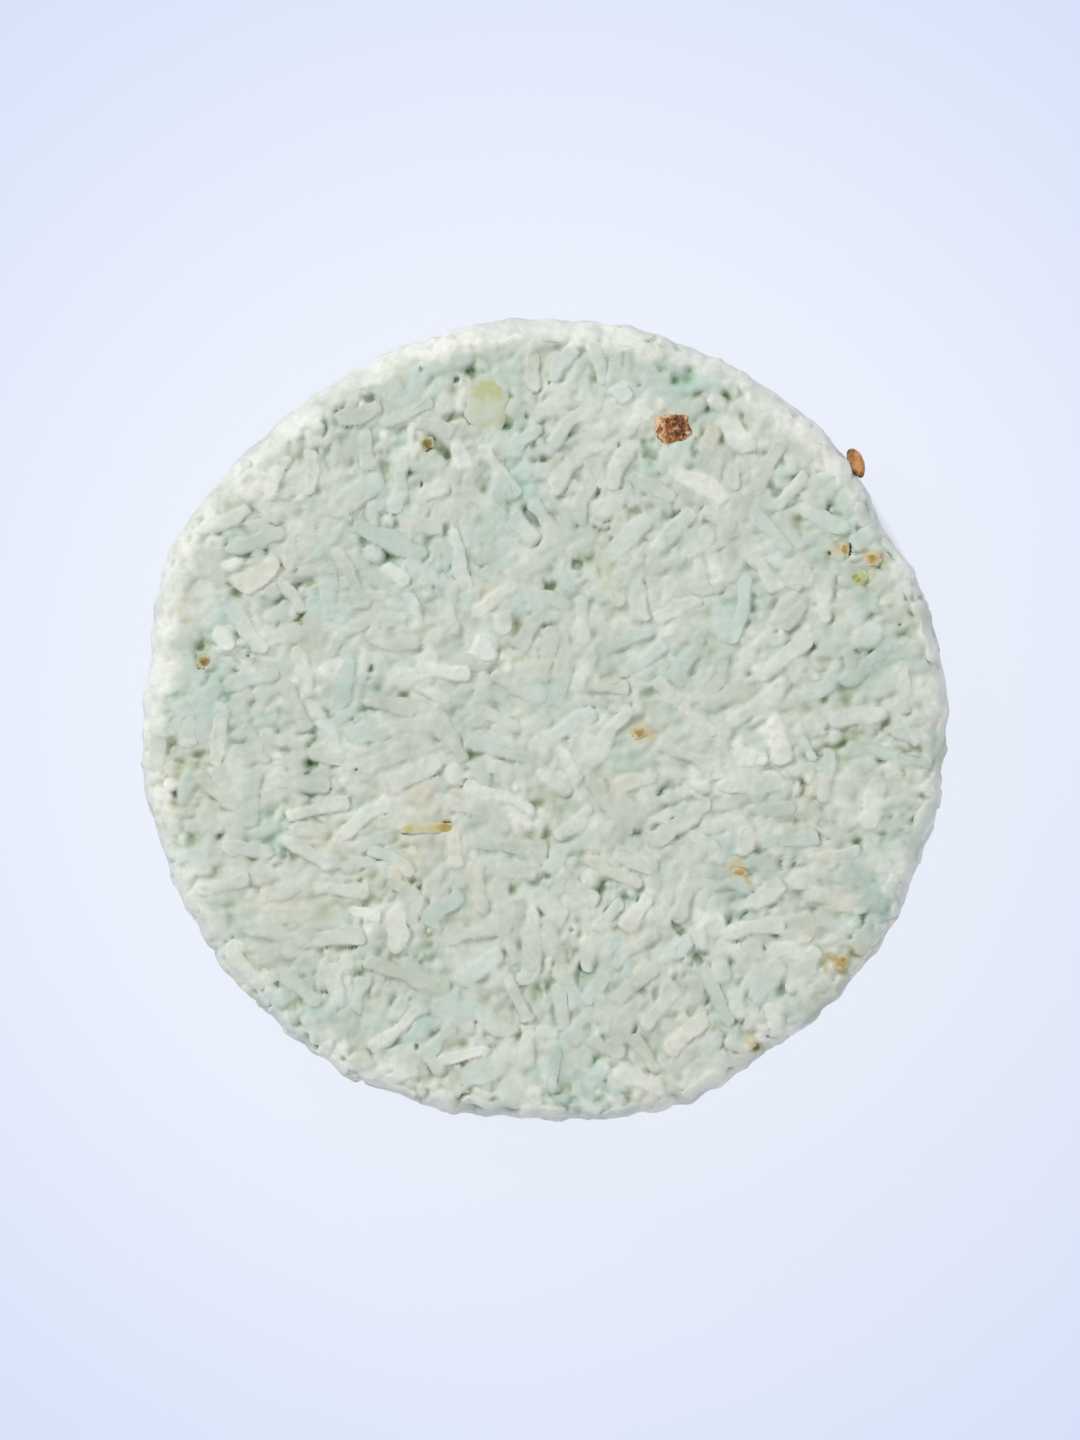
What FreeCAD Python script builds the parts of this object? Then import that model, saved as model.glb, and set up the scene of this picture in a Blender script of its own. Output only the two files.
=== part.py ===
import FreeCAD, Part

import math
import os
import random

import Sketcher
from FreeCAD import Placement, Rotation, Vector

# A shaving soap puck, pressed from short extruded soap noodles.
# Frame: the puck lies flat, +Z is up, and the origin is the middle of the face it rests on.
# The fused soap is one core. Every noodle, crumb and plant fragment that can still be told
# apart at the surface is a solid of its own that fills a socket in that core.

# Driving dimensions in millimetres, the cells of the spreadsheet.
DIMENSIONS = {
    "puck_diameter": 60.0,
    "puck_thickness": 22.0,
    "edge_radius": 2.2,
    "noodle_thin": 1.0,
    "noodle_thick": 1.35,
    "noodle_short": 1.2,
    "noodle_long": 4.8,
    "noodle_gap": 0.16,
    "axis_depth": 0.16,
    "granule_diameter": 1.7,
    "bark_length": 2.7,
    "bark_width": 2.0,
    "bark_depth": 1.2,
    "husk_length": 2.3,
    "husk_width": 1.15,
    "husk_stand": 0.35,
    "petal_length": 3.9,
    "petal_width": 3.0,
    "petal_depth": 0.7,
    "stem_length": 4.2,
    "stem_thick": 0.8,
    "stem_thin": 0.4,
    "leaf_length": 1.5,
    "leaf_width": 0.9,
    "fleck_length": 1.3,
    "fleck_width": 0.8,
    "speck_diameter": 0.8,
}

# How many noodles each area holds where there is room, and how often a place is tried.
NOODLES = {"top": 150, "top_rim": 36, "wall": 110, "bottom_rim": 36, "bottom": 120}
SIDE_GROUPS = ("top_rim_noodles", "wall_noodles", "bottom_rim_noodles")
TRIES_PER_NOODLE = 60
SEED = 9

UP = Vector(0, 0, 1)
DOWN = Vector(0, 0, -1)

# Noodles of the upper face that stand out most: (x, y) of one tip and of the other.
STRIKING_NOODLES = (
    ((-25.2, 14.1), (-21.6, 16.0)),
    ((-20.4, 16.5), (-19.2, 20.0)),
    ((-17.2, 16.9), (-17.5, 20.0)),
    ((-16.2, 15.6), (-12.0, 18.1)),
    ((-4.8, 20.9), (-1.7, 16.5)),
    ((-6.3, 20.9), (-5.9, 18.6)),
    ((-9.3, 22.4), (-6.6, 21.6)),
    ((-6.7, 14.6), (-5.7, 9.7)),
    ((-15.8, 24.3), (-11.8, 26.1)),
    ((0.6, 25.3), (2.4, 28.0)),
    ((3.5, 28.2), (4.8, 25.3)),
    ((-0.4, 27.6), (-1.0, 24.6)),
    ((12.6, 20.9), (12.8, 21.8)),
    ((14.2, 19.2), (14.2, 17.4)),
    ((8.1, 12.7), (11.3, 16.0)),
    ((2.7, 9.3), (3.0, 6.0)),
    ((0.9, -8.9), (3.7, -6.4)),
    ((8.5, -1.3), (13.4, -3.9)),
    ((22.8, -1.8), (29.0, -3.4)),
    ((26.1, -0.7), (28.0, -1.5)),
    ((19.5, -12.9), (24.2, -13.9)),
    ((20.0, -14.3), (19.3, -16.6)),
    ((17.8, -17.6), (15.7, -20.5)),
    ((24.6, -15.3), (23.1, -16.8)),
    ((22.6, -19.0), (19.1, -22.6)),
    ((4.8, -18.6), (3.3, -21.3)),
    ((8.5, -18.4), (5.2, -21.1)),
    ((17.2, -20.9), (17.6, -23.7)),
    ((10.5, 1.2), (12.8, -1.1)),
    ((-5.9, -4.7), (-0.6, -6.6)),
    ((-15.8, -8.7), (-11.6, -5.7)),
    ((-13.5, -17.7), (-6.9, -20.1)),
    ((-7.5, -16.2), (-2.3, -15.4)),
    ((-23.6, -16.1), (-21.1, -20.0)),
    ((-22.4, -0.3), (-20.8, -3.2)),
    ((-27.0, 1.5), (-26.4, -2.0)),
    ((-9.1, -14.0), (-11.5, -11.8)),
    ((12.2, -22.1), (9.1, -24.4)),
    ((-1.4, -22.7), (-0.9, -26.0)),
)

# White crumbs of the upper face: place, and length beyond a round crumb.
GRANULES = (
    ((-4.2, 5.3), 0.7),
    ((-2.9, 7.5), 0.2),
    ((-23.8, 6.2), 0.4),
    ((5.8, 24.3), 0.3),
)
GRANULE_TURN = 115.0

# Plant fragments: place on the upper face and turn about Z in degrees.
BARK_PLACE = (9.6, 21.9, 12.0)
PETAL_PLACE = (-4.2, 23.6, -8.0)
STEM_PLACE = (-10.8, -8.1, 3.0)
LEAF_PLACE = (23.8, 10.8, 40.0)
FLECK_PLACES = (
    (22.9, 13.1, 80.0),
    (25.0, 12.3, 35.0),
    (7.2, -0.9, 20.0),
    (14.7, -11.3, -30.0),
    (22.2, -18.0, 60.0),
)
FLECK_SUNK_SHARE = 0.6
SPECK_PLACES = ((-25.5, 4.5), (-8.7, 20.8), (15.9, -24.4))
# The husk sits in the wall: bearing of its place, height below the upper face, lean from
# the wall's tangent.
HUSK_BEARING = 39.6
HUSK_DROP = 2.1
HUSK_LEAN = -12.0

# Half of the axis, as (x, y), of the round-ended rods that stand for the specks and keep
# the noodles clear of the other fragments.
SPECK_HALF_AXIS = (0.15, 0.1)
BARK_HALF_AXIS = (0.2, 0.0)
PETAL_HALF_AXIS = (0.0, 0.5)
PETAL_MARGIN = 0.2
LEAF_HALF_AXIS = (0.3, 0.3)
FLECK_HALF_AXIS = (0.1, 0.1)
HUSK_AXIS_RISE = 0.1

# The shortest half axis of a noodle, and the slopes in degrees at which rim noodles lie.
LEAST_HALF_AXIS = 0.05
RIM_SLOPES = (25, 65)


def make_sheet(doc):
    """The driving dimensions as a spreadsheet with one alias to a row."""
    sheet = doc.addObject("Spreadsheet::Sheet", "Dimensions")
    for row, (alias, value) in enumerate(DIMENSIONS.items(), start=1):
        sheet.set(f"A{row}", alias)
        sheet.set(f"B{row}", str(value))
        sheet.setAlias(f"B{row}", alias)
    doc.recompute()
    return sheet


def bind(item, **bindings):
    """Tie properties of an object to expressions over the sheet's aliases."""
    for name, expression in bindings.items():
        item.setExpression(name, expression)


def origin_plane(body, role):
    """The origin plane of a body that has this role."""
    return next(f for f in body.Origin.OriginFeatures if f.Role == role)


def closed_outline(body, name, role, corners):
    """A sketch on an origin plane holding a closed chain of straight lines."""
    sketch = body.newObject("Sketcher::SketchObject", name)
    sketch.AttachmentSupport = (origin_plane(body, role), [""])
    sketch.MapMode = "FlatFace"
    count = len(corners)
    for index in range(count):
        start = Vector(*corners[index], 0)
        end = Vector(*corners[(index + 1) % count], 0)
        sketch.addGeometry(Part.LineSegment(start, end), False)
    for index in range(count):
        following = (index + 1) % count
        sketch.addConstraint(Sketcher.Constraint("Coincident", index, 2, following, 1))
    return sketch


def make_press_form(doc, size):
    """The whole puck as the die leaves it: a disc turned about Z with both rims rounded."""
    radius = size.puck_diameter / 2
    thickness = size.puck_thickness
    body = doc.addObject("PartDesign::Body", "PressForm")
    corners = ((0, 0), (radius, 0), (radius, thickness), (0, thickness))
    sketch = closed_outline(body, "HalfSection", "XZ_Plane", corners)
    for line, direction in enumerate(("Horizontal", "Vertical", "Horizontal", "Vertical")):
        sketch.addConstraint(Sketcher.Constraint(direction, line))
    sketch.addConstraint(Sketcher.Constraint("Coincident", 0, 1, -1, 1))
    reach = sketch.addConstraint(Sketcher.Constraint("DistanceX", 0, 1, 0, 2, radius))
    rise = sketch.addConstraint(Sketcher.Constraint("DistanceY", 1, 1, 1, 2, thickness))
    sketch.setExpression(f"Constraints[{reach}]", "Dimensions.puck_diameter / 2")
    sketch.setExpression(f"Constraints[{rise}]", "Dimensions.puck_thickness")
    disc = body.newObject("PartDesign::Revolution", "Disc")
    disc.Profile = sketch
    disc.ReferenceAxis = (sketch, ["V_Axis"])
    disc.Angle = 360
    doc.recompute()
    rims = [
        f"Edge{number}"
        for number, edge in enumerate(disc.Shape.Edges, start=1)
        if isinstance(edge.Curve, Part.Circle)
    ]
    rounding = body.newObject("PartDesign::Fillet", "RimRounding")
    rounding.Base = (disc, rims)
    bind(rounding, Radius="Dimensions.edge_radius")
    doc.recompute()
    return body


class Noodle:
    """A round-ended rod: the ends of its axis, its radius and the way into the puck."""

    def __init__(self, start, end, radius, inward):
        self.start = Vector(*start)
        self.end = Vector(*end)
        self.radius = radius
        self.inward = inward
        self.middle = (self.start + self.end) * 0.5
        self.reach = (self.end - self.start).Length / 2 + radius

    def solid(self):
        """The rod turned about its axis from half of its lengthwise section.

        The seam of the turned faces lies along the rod's deepest side, clear of the surface.
        """
        axis = self.end - self.start
        length = axis.Length
        radius = self.radius
        slant = radius * math.sqrt(0.5)
        foot = Part.Arc(Vector(0, 0, -radius), Vector(slant, 0, -slant), Vector(radius, 0, 0))
        side = Part.LineSegment(Vector(radius, 0, 0), Vector(radius, 0, length))
        head = Part.Arc(
            Vector(radius, 0, length),
            Vector(slant, 0, length + slant),
            Vector(0, 0, length + radius),
        )
        back = Part.LineSegment(Vector(0, 0, length + radius), Vector(0, 0, -radius))
        outline = Part.Wire([piece.toShape() for piece in (foot, side, head, back)])
        rod = Part.Face(outline).revolve(Vector(0, 0, 0), Vector(0, 0, 1), 360)
        turn = Rotation(self.inward, self.inward.cross(axis), axis, "ZXY")
        rod.Placement = Placement(self.start, turn)
        return rod

    def clear_of(self, other, gap):
        """True where this rod and the other stay at least a gap apart."""
        between = self.middle - other.middle
        least = self.radius + other.radius + gap
        if between.Length >= self.reach + other.reach + gap:
            return True
        return axis_distance(self, other) >= least


class RimNoodle(Noodle):
    """A noodle bent along a rim: a stretch of a ring about the puck's axis, its ends cut."""

    def __init__(self, away, level, bearing, span, radius):
        first, last = (
            Vector(away * math.cos(angle), away * math.sin(angle), level)
            for angle in (bearing, bearing + span)
        )
        super().__init__(first, last, radius, UP)
        self.away = away
        self.level = level
        self.bearing = math.degrees(bearing)
        self.span = math.degrees(span)

    def solid(self):
        ring = Part.makeTorus(self.away, self.radius, Vector(), UP, 0, 360, self.span)
        ring.Placement = Placement(UP * self.level, Rotation(UP, self.bearing))
        return ring


def axis_distance(first, second):
    """The least distance between the axes of two rods."""
    along = first.end - first.start
    across = second.end - second.start
    offset = first.start - second.start
    a = along.dot(along)
    b = along.dot(across)
    c = across.dot(across)
    d = along.dot(offset)
    e = across.dot(offset)
    spread = a * c - b * b
    tiny = 1e-9
    share = clamp((b * e - c * d) / spread) if spread > tiny else 0.0
    other = (b * share + e) / c if c > tiny else 0.0
    if not 0.0 <= other <= 1.0 or c <= tiny:
        other = clamp(other)
        share = clamp((b * other - d) / a) if a > tiny else 0.0
    return (offset + along * share - across * other).Length


def clamp(value):
    """A share of a length, held between its two ends."""
    return min(max(value, 0.0), 1.0)


class Bed:
    """Places noodles at random over the puck's surface, none touching another."""

    def __init__(self, size):
        self.size = size
        self.chance = random.Random(SEED)
        self.taken = []

    def add(self, noodle):
        """Keeps the noodle if it is clear of all that is placed already."""
        gap = self.size.noodle_gap
        if all(noodle.clear_of(other, gap) for other in self.taken):
            self.taken.append(noodle)
            return True
        return False

    def fill(self, count, propose):
        """Up to count noodles, each from the next proposal that finds room."""
        placed = []
        for _ in range(count * TRIES_PER_NOODLE):
            noodle = propose()
            if noodle and self.add(noodle):
                placed.append(noodle)
            if len(placed) == count:
                break
        return placed

    def section(self):
        """A random radius and axis length for one noodle."""
        size = self.size
        radius = self.chance.uniform(size.noodle_thin, size.noodle_thick) / 2
        length = self.chance.triangular(size.noodle_short, size.noodle_long)
        return radius, length

    def on_face(self, height):
        """A noodle in the flat of a pressed face, its axis at this height, or None."""
        radius, length = self.section()
        flat = self.size.puck_diameter / 2 - self.size.edge_radius
        away = flat * math.sqrt(self.chance.random())
        bearing = self.chance.uniform(0, 2 * math.pi)
        turn = self.chance.uniform(0, math.pi)
        middle = Vector(away * math.cos(bearing), away * math.sin(bearing), height)
        half = Vector(math.cos(turn), math.sin(turn), 0) * (length / 2)
        inward = DOWN if height > self.size.puck_thickness / 2 else UP
        noodle = Noodle(middle - half, middle + half, radius, inward)
        tips = (math.hypot(tip.x, tip.y) for tip in (noodle.start, noodle.end))
        return noodle if max(tips) + radius < flat else None

    def on_wall(self):
        """A noodle lying in the straight part of the wall, turned any way."""
        size = self.size
        radius, length = self.section()
        bearing = self.chance.uniform(0, 2 * math.pi)
        turn = self.chance.uniform(0, math.pi)
        rise = abs(math.sin(turn)) * length / 2
        low = size.edge_radius + rise + radius / 2
        height = self.chance.uniform(low, size.puck_thickness - low)
        away = size.puck_diameter / 2 - size.axis_depth
        outward = Vector(math.cos(bearing), math.sin(bearing), 0)
        tangent = Vector(-outward.y, outward.x, 0)
        middle = outward * away + Vector(0, 0, height)
        half = (tangent * math.cos(turn) + UP * math.sin(turn)) * (length / 2)
        return Noodle(middle - half, middle + half, radius, -outward)

    def on_rim(self, upper):
        """A noodle bent along a rounded rim."""
        size = self.size
        radius, length = self.section()
        bearing = self.chance.uniform(0, 2 * math.pi)
        slope = math.radians(self.chance.uniform(*RIM_SLOPES))
        depth = size.edge_radius - size.axis_depth
        away = size.puck_diameter / 2 - size.edge_radius + depth * math.cos(slope)
        level = size.edge_radius - depth * math.sin(slope)
        if upper:
            level = size.puck_thickness - level
        return RimNoodle(away, level, bearing, (length + radius) / away, radius)


def just_under(size, x, y):
    """The point one axis depth below the upper face, or below its rounded rim."""
    beyond = math.hypot(x, y) - (size.puck_diameter / 2 - size.edge_radius)
    drop = size.edge_radius - math.sqrt(size.edge_radius**2 - max(beyond, 0) ** 2)
    return Vector(x, y, size.puck_thickness - size.axis_depth - drop)


def striking_noodles(bed):
    """The hand-placed noodles of the upper face, their tips where the list says."""
    size = bed.size
    kept = []
    for tips in STRIKING_NOODLES:
        first, last = (just_under(size, *tip) for tip in tips)
        direction = (last - first).normalize()
        radius = bed.chance.uniform(size.noodle_thin, size.noodle_thick) / 2
        inset = direction * min(radius, (last - first).Length / 2 - LEAST_HALF_AXIS)
        noodle = Noodle(first + inset, last - inset, radius, DOWN)
        if bed.add(noodle):
            kept.append(noodle)
        else:
            print("no room for the noodle between", tips)
    return kept


def granules(size):
    """The white crumbs: rods so short that they are nearly balls."""
    turn = math.radians(GRANULE_TURN)
    crumbs = []
    for place, extra in GRANULES:
        middle = just_under(size, *place)
        half = Vector(math.cos(turn), math.sin(turn), 0) * (extra / 2)
        radius = size.granule_diameter / 2 - extra / 4
        crumbs.append(Noodle(middle - half, middle + half, radius, DOWN))
    return crumbs


def speck_noodles(size):
    """The herb specks as short rods, so that noodles keep clear of them."""
    half = Vector(*SPECK_HALF_AXIS, 0)
    middles = [just_under(size, *place) for place in SPECK_PLACES]
    return [Noodle(m - half, m + half, size.speck_diameter / 2, DOWN) for m in middles]


def keep_outs(size):
    """Rods that stand for the plant fragments while the noodles are placed."""
    top = size.puck_thickness
    chunks = [
        (BARK_PLACE, BARK_HALF_AXIS, size.bark_length / 2),
        (PETAL_PLACE, PETAL_HALF_AXIS, size.petal_width / 2 + PETAL_MARGIN),
        (LEAF_PLACE, LEAF_HALF_AXIS, size.leaf_length / 3),
    ]
    chunks += [(place, FLECK_HALF_AXIS, size.fleck_length / 2) for place in FLECK_PLACES]
    rods = []
    for (x, y, _), half_axis, radius in chunks:
        middle = Vector(x, y, top)
        half = Vector(*half_axis, 0)
        rods.append(Noodle(middle - half, middle + half, radius, DOWN))
    x, y, turn = STEM_PLACE
    stem_start = Vector(x, y, top)
    stem = Rotation(UP, turn).multVec(Vector(size.stem_length, 0, 0))
    rods.append(Noodle(stem_start, stem_start + stem, size.stem_thick / 2, DOWN))
    husk = husk_placement(size).Base
    rods.append(Noodle(husk, husk + UP * HUSK_AXIS_RISE, size.husk_length / 2, DOWN))
    return rods


def rod_group(doc, name, noodles):
    """One hidden feature holding a group of rods, before the press flattens them."""
    rods = doc.addObject("Part::Feature", name)
    rods.Shape = Part.makeCompound([noodle.solid() for noodle in noodles])
    return rods


def pressed(doc, node, blank, form):
    """The part of a blank that lies within the press form, flush with its surface."""
    common = doc.addObject("Part::Common", f"Pressed_{node}")
    common.Base = blank
    common.Tool = form
    common.Refine = False
    common.Label = node
    return common


def chunk_body(doc, name, corners, depth_alias, place, size):
    """A flat chunk: an outline padded downwards from the upper face."""
    body = doc.addObject("PartDesign::Body", name)
    sketch = closed_outline(body, f"{name}Outline", "XY_Plane", corners)
    pad = body.newObject("PartDesign::Pad", f"{name}Pad")
    pad.Profile = sketch
    pad.Reversed = True
    bind(pad, Length=f"Dimensions.{depth_alias}")
    x, y, turn = place
    body.Placement = Placement(
        Vector(x, y, size.puck_thickness), Rotation(UP, turn)
    )
    return body


def make_bark(doc, size):
    """The bark fragment: a broken seven-sided chunk, level with the upper face."""
    half_length = size.bark_length / 2
    half_width = size.bark_width / 2
    shares = (
        (-1.0, -0.3),
        (-0.45, -1.0),
        (0.3, -0.8),
        (0.85, -0.9),
        (1.0, 0.2),
        (0.35, 1.0),
        (-0.7, 0.75),
    )
    corners = [(half_length * x, half_width * y) for x, y in shares]
    body = chunk_body(doc, "Bark", corners, "bark_depth", BARK_PLACE, size)
    body.Label = "bark_fragment"
    return body


def make_petal(doc, size):
    """The petal fragment: a torn, nearly square scrap, level with the upper face."""
    half_length = size.petal_length / 2
    half_width = size.petal_width / 2
    shares = ((-0.85, -0.6), (-0.2, -1.0), (0.9, -0.75), (1.0, 0.6), (0.4, 1.0), (-0.9, 0.8))
    corners = [(half_width * x, half_length * y) for x, y in shares]
    body = chunk_body(doc, "Petal", corners, "petal_depth", PETAL_PLACE, size)
    body.Label = "petal_fragment"
    return body


def make_stem(doc, form, size):
    """The stem sliver: a tapering round sliver lying in the upper face."""
    blank = doc.addObject("Part::Cone", "StemBlank")
    bind(
        blank,
        Radius1="Dimensions.stem_thin / 2",
        Radius2="Dimensions.stem_thick / 2",
        Height="Dimensions.stem_length",
    )
    x, y, turn = STEM_PLACE
    along = Rotation(UP, turn) * Rotation(Vector(0, 1, 0), 90)
    blank.Placement = Placement(just_under(size, x, y), along)
    return pressed(doc, "stem_sliver", blank, form), blank


def make_leaf(doc, form, size):
    """The leaf fleck: a lens lying in the upper face."""
    blank = doc.addObject("Part::Ellipsoid", "LeafBlank")
    bind(
        blank,
        Radius1="Dimensions.leaf_width / 3",
        Radius2="Dimensions.leaf_length / 2",
        Radius3="Dimensions.leaf_width / 2",
    )
    x, y, turn = LEAF_PLACE
    blank.Placement = Placement(just_under(size, x, y), Rotation(UP, turn))
    return pressed(doc, "leaf_fleck", blank, form), blank


def make_flecks(doc, form, size):
    """The amber flecks: small wedges broken off a husk, pressed into the upper face."""
    half_length = size.fleck_length / 2
    half_width = size.fleck_width / 2
    outline = (
        (-half_length, -half_width * 0.4),
        (half_length * 0.3, -half_width),
        (half_length, half_width * 0.1),
        (-half_length * 0.1, half_width),
    )
    ring = [Vector(x, y, 0) for x, y in outline]
    face = Part.Face(Part.makePolygon(ring + ring[:1]))
    wedges = []
    for x, y, turn in FLECK_PLACES:
        wedge = face.extrude(Vector(0, 0, size.fleck_width))
        sunk = just_under(size, x, y) - UP * (size.fleck_width * FLECK_SUNK_SHARE)
        wedge.Placement = Placement(sunk, Rotation(UP, turn))
        wedges.append(wedge)
    blank = doc.addObject("Part::Feature", "FleckBlanks")
    blank.Shape = Part.makeCompound(wedges)
    return pressed(doc, "amber_flecks", blank, form), blank


def husk_placement(size):
    """Where the seed husk sits: half in the wall, leaning a little from its tangent."""
    away = size.puck_diameter / 2 + size.husk_stand
    bearing = math.radians(HUSK_BEARING)
    height = size.puck_thickness - HUSK_DROP
    place = Vector(away * math.cos(bearing), away * math.sin(bearing), height)
    return Placement(place, Rotation(UP, HUSK_BEARING - 90 + HUSK_LEAN))


def make_husk(doc, size):
    """The seed husk: an egg that stands out of the wall."""
    husk = doc.addObject("Part::Ellipsoid", "Husk")
    bind(
        husk,
        Radius1="Dimensions.husk_width / 2",
        Radius2="Dimensions.husk_length / 2",
        Radius3="Dimensions.husk_width / 2",
    )
    husk.Placement = husk_placement(size)
    husk.Label = "rim_seed_husk"
    return husk


def make_core(doc, form, fillers):
    """The fused soap: the press form less every socket, cut in two rounds."""
    core = form
    for name, group in fillers.items():
        sockets = doc.addObject("Part::Compound", f"{name}Sockets")
        sockets.Links = group
        cut = doc.addObject("Part::Cut", f"{name}Cut")
        cut.Base = core
        cut.Tool = sockets
        cut.Refine = False
        core = cut
    core.Label = "pressed_core"
    return core


def check(doc, parts):
    """Stops unless every object recomputed and every sub-part is a valid shape."""
    failed = [o.Label for o in doc.Objects if "Invalid" in o.State or "Error" in o.State]
    bad = [p.Label for p in parts if p.Shape.isNull() or not p.Shape.isValid()]
    if failed or bad:
        raise RuntimeError(f"failed objects {failed}, bad shapes {bad}")


def main():
    doc = FreeCAD.newDocument("SoapPuck")
    size = make_sheet(doc)
    form = make_press_form(doc, size)

    bed = Bed(size)
    crumbs = granules(size)
    specks = speck_noodles(size)
    bed.taken += keep_outs(size) + crumbs + specks
    top_axes = size.puck_thickness - size.axis_depth
    groups = {
        "top_noodles": striking_noodles(bed)
        + bed.fill(NOODLES["top"], lambda: bed.on_face(top_axes)),
        "top_rim_noodles": bed.fill(NOODLES["top_rim"], lambda: bed.on_rim(True)),
        "wall_noodles": bed.fill(NOODLES["wall"], bed.on_wall),
        "bottom_rim_noodles": bed.fill(NOODLES["bottom_rim"], lambda: bed.on_rim(False)),
        "bottom_noodles": bed.fill(NOODLES["bottom"], lambda: bed.on_face(size.axis_depth)),
        "white_granules": crumbs,
        "herb_specks": specks,
    }

    parts = []
    fillers = {"Face": [], "Side": []}
    for node, noodles in groups.items():
        rods = rod_group(doc, f"Rods_{node}", noodles)
        fillers["Side" if node in SIDE_GROUPS else "Face"].append(rods)
        parts.append(pressed(doc, node, rods, form))
    for make in (make_stem, make_leaf, make_flecks):
        part, blank = make(doc, form, size)
        parts.append(part)
        fillers["Face"].append(blank)
    fragments = [make_bark(doc, size), make_petal(doc, size), make_husk(doc, size)]
    parts += fragments
    fillers["Face"] += fragments
    parts.append(make_core(doc, form, fillers))

    doc.recompute()
    check(doc, parts)
    os.makedirs("parts", exist_ok=True)
    for part in parts:
        part.Shape.exportStep(f"parts/{part.Label}.step")
        print(part.Label, len(part.Shape.Solids), "solids", round(part.Shape.Volume, 1), "mm3")


main()
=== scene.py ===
import math

import bpy
import numpy as np
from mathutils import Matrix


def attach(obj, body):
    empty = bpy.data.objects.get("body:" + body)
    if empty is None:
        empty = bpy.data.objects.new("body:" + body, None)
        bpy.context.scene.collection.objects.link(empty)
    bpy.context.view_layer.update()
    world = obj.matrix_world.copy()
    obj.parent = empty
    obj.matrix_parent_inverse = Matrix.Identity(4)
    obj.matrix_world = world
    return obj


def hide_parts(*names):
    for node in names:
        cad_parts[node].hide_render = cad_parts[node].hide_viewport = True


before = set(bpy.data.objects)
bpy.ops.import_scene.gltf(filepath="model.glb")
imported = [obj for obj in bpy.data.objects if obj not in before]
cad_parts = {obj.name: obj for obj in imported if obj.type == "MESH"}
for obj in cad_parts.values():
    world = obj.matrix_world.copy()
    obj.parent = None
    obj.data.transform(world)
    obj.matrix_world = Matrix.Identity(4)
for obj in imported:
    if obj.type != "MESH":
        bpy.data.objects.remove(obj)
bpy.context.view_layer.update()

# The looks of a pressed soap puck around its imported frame. Points are worked out in
# millimetres in the frame's axes and turned into metres when a mesh is made.
MM = 0.001
SEED = 31

# Mesh detail: cells across the upper face, and the ring spacing of rims and wall.
TOP_CELLS = 300
RIM_STEP = 0.17
WALL_STEP = 0.22

# Samples along a face, the wall and a rim, from which random places are drawn.
FACE_SAMPLES = 400
WALL_SAMPLES = 300
RIM_SAMPLES = 40

# Noodles: the power of their squarish section, the bluntness of their ends, the longest
# end as a share of the noodle, and how steeply they fall away beyond their edge.
SECTION_POWER = 2.1
END_BLUNTNESS = (0.7, 1.1)
LONGEST_END = 0.49
EDGE_FALL = 2.5

# Tones of the noodles: how white those of the core are and how far the whiteness of any
# varies, and how many are teal or warm.
FUSED_WHITE = 0.27
WHITE_SPREAD = 0.24
TEAL_NOODLES = 0.2
WARM_NOODLES = 0.07

# The whiteness, teal and warmth of soap that no noodle covers, and their slight weight.
BARE_TONE = (0.35, 0.1, 0.0)
TRACE = 1e-9

# Noodles wider than this were squeezed to lumps with ragged edges.
LUMP_RADIUS = 0.95
LUMP_RAGGEDNESS = 0.13

# The fused noodles of the core, sown in rounds. Each round has the tries per square
# millimetre, the lengths, the radii, how much of a noodle may lie on earlier ones and
# how far its crown stands over the press surface before it is pressed.
SOWING = (
    (0.05, (2.6, 4.8), (1.0, 1.7), 0.06, (0.0, 0.3)),
    (0.9, (2.2, 5.0), (0.58, 0.84), 0.08, (-0.05, 0.28)),
    (1.4, (1.6, 3.2), (0.48, 0.78), 0.13, (-0.12, 0.26)),
    (2.0, (0.9, 2.0), (0.38, 0.62), 0.2, (-0.2, 0.2)),
    (2.0, (0.6, 1.2), (0.28, 0.48), 0.32, (-0.24, 0.1)),
)
LAYERS_BELOW = (
    (0.34, (1.6, 4.4), (0.46, 0.64), (-0.5, -0.16)),
    (0.34, (1.6, 4.4), (0.46, 0.64), (-0.9, -0.45)),
)

# How much of a fused noodle may lie on the striking ones, how far a noodle leans out of
# the surface, and how high the press leaves it.
RESERVED_SHARE = 0.04
SOWN_LEAN = 0.07
BELOW_LEAN = 0.2
FUSED_LIFTS = (-0.07, 0.02)

# How the press leaves the surface: how softly noodles are cut off by it and run into one
# another, in shape and in tone, where they are loose and where they have fused.
PRESS_ROUNDING = 0.28
LOOSE_BLEND = 0.03
FUSED_BLEND = 0.22
SMOOTH_RIM_BLEND = 0.3
TONE_BLEND = 0.05
FUSED_TONE_BLEND = 0.15

# The gaps between noodles: how far they are cut in, and how deep the soap fills them.
GAP_DEPTH = 0.34
FILL_DEPTH = 0.34
FILL_SPREAD = 0.17
SHALLOWEST_FILL = 0.12
DEEPEST_GAP = 1.5
PIT_DEPTH = 0.6
PIT_FLOOR_DEPTH = 0.4

# Depths over which soap is darkened to the deep green of painted shade in a crevice.
PAINTED_CREVICE_SHADE_DEPTHS = (0.3, 0.84)

# How far the soap sinks at the edge of a striking noodle and under it, and the same for
# the socket of a plant fragment, which reaches a little beyond the fragment.
LIP_DEPTH = 0.05
WELL_DEPTH = 0.35
SOCKET_LEDGE = 0.07
SOCKET_WELL = 0.8
SOCKET_REACH = 0.2

# How far the finished skin may stand over the press form.
HIGHEST_BUMP = 0.12

# The bearing in degrees where the upper rim is smoothest, and how far to either side it
# stays so and is rough again.
SMOOTH_RIM_BEARING = 112
SMOOTH_RIM_TURNS = (45, 100)

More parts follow.
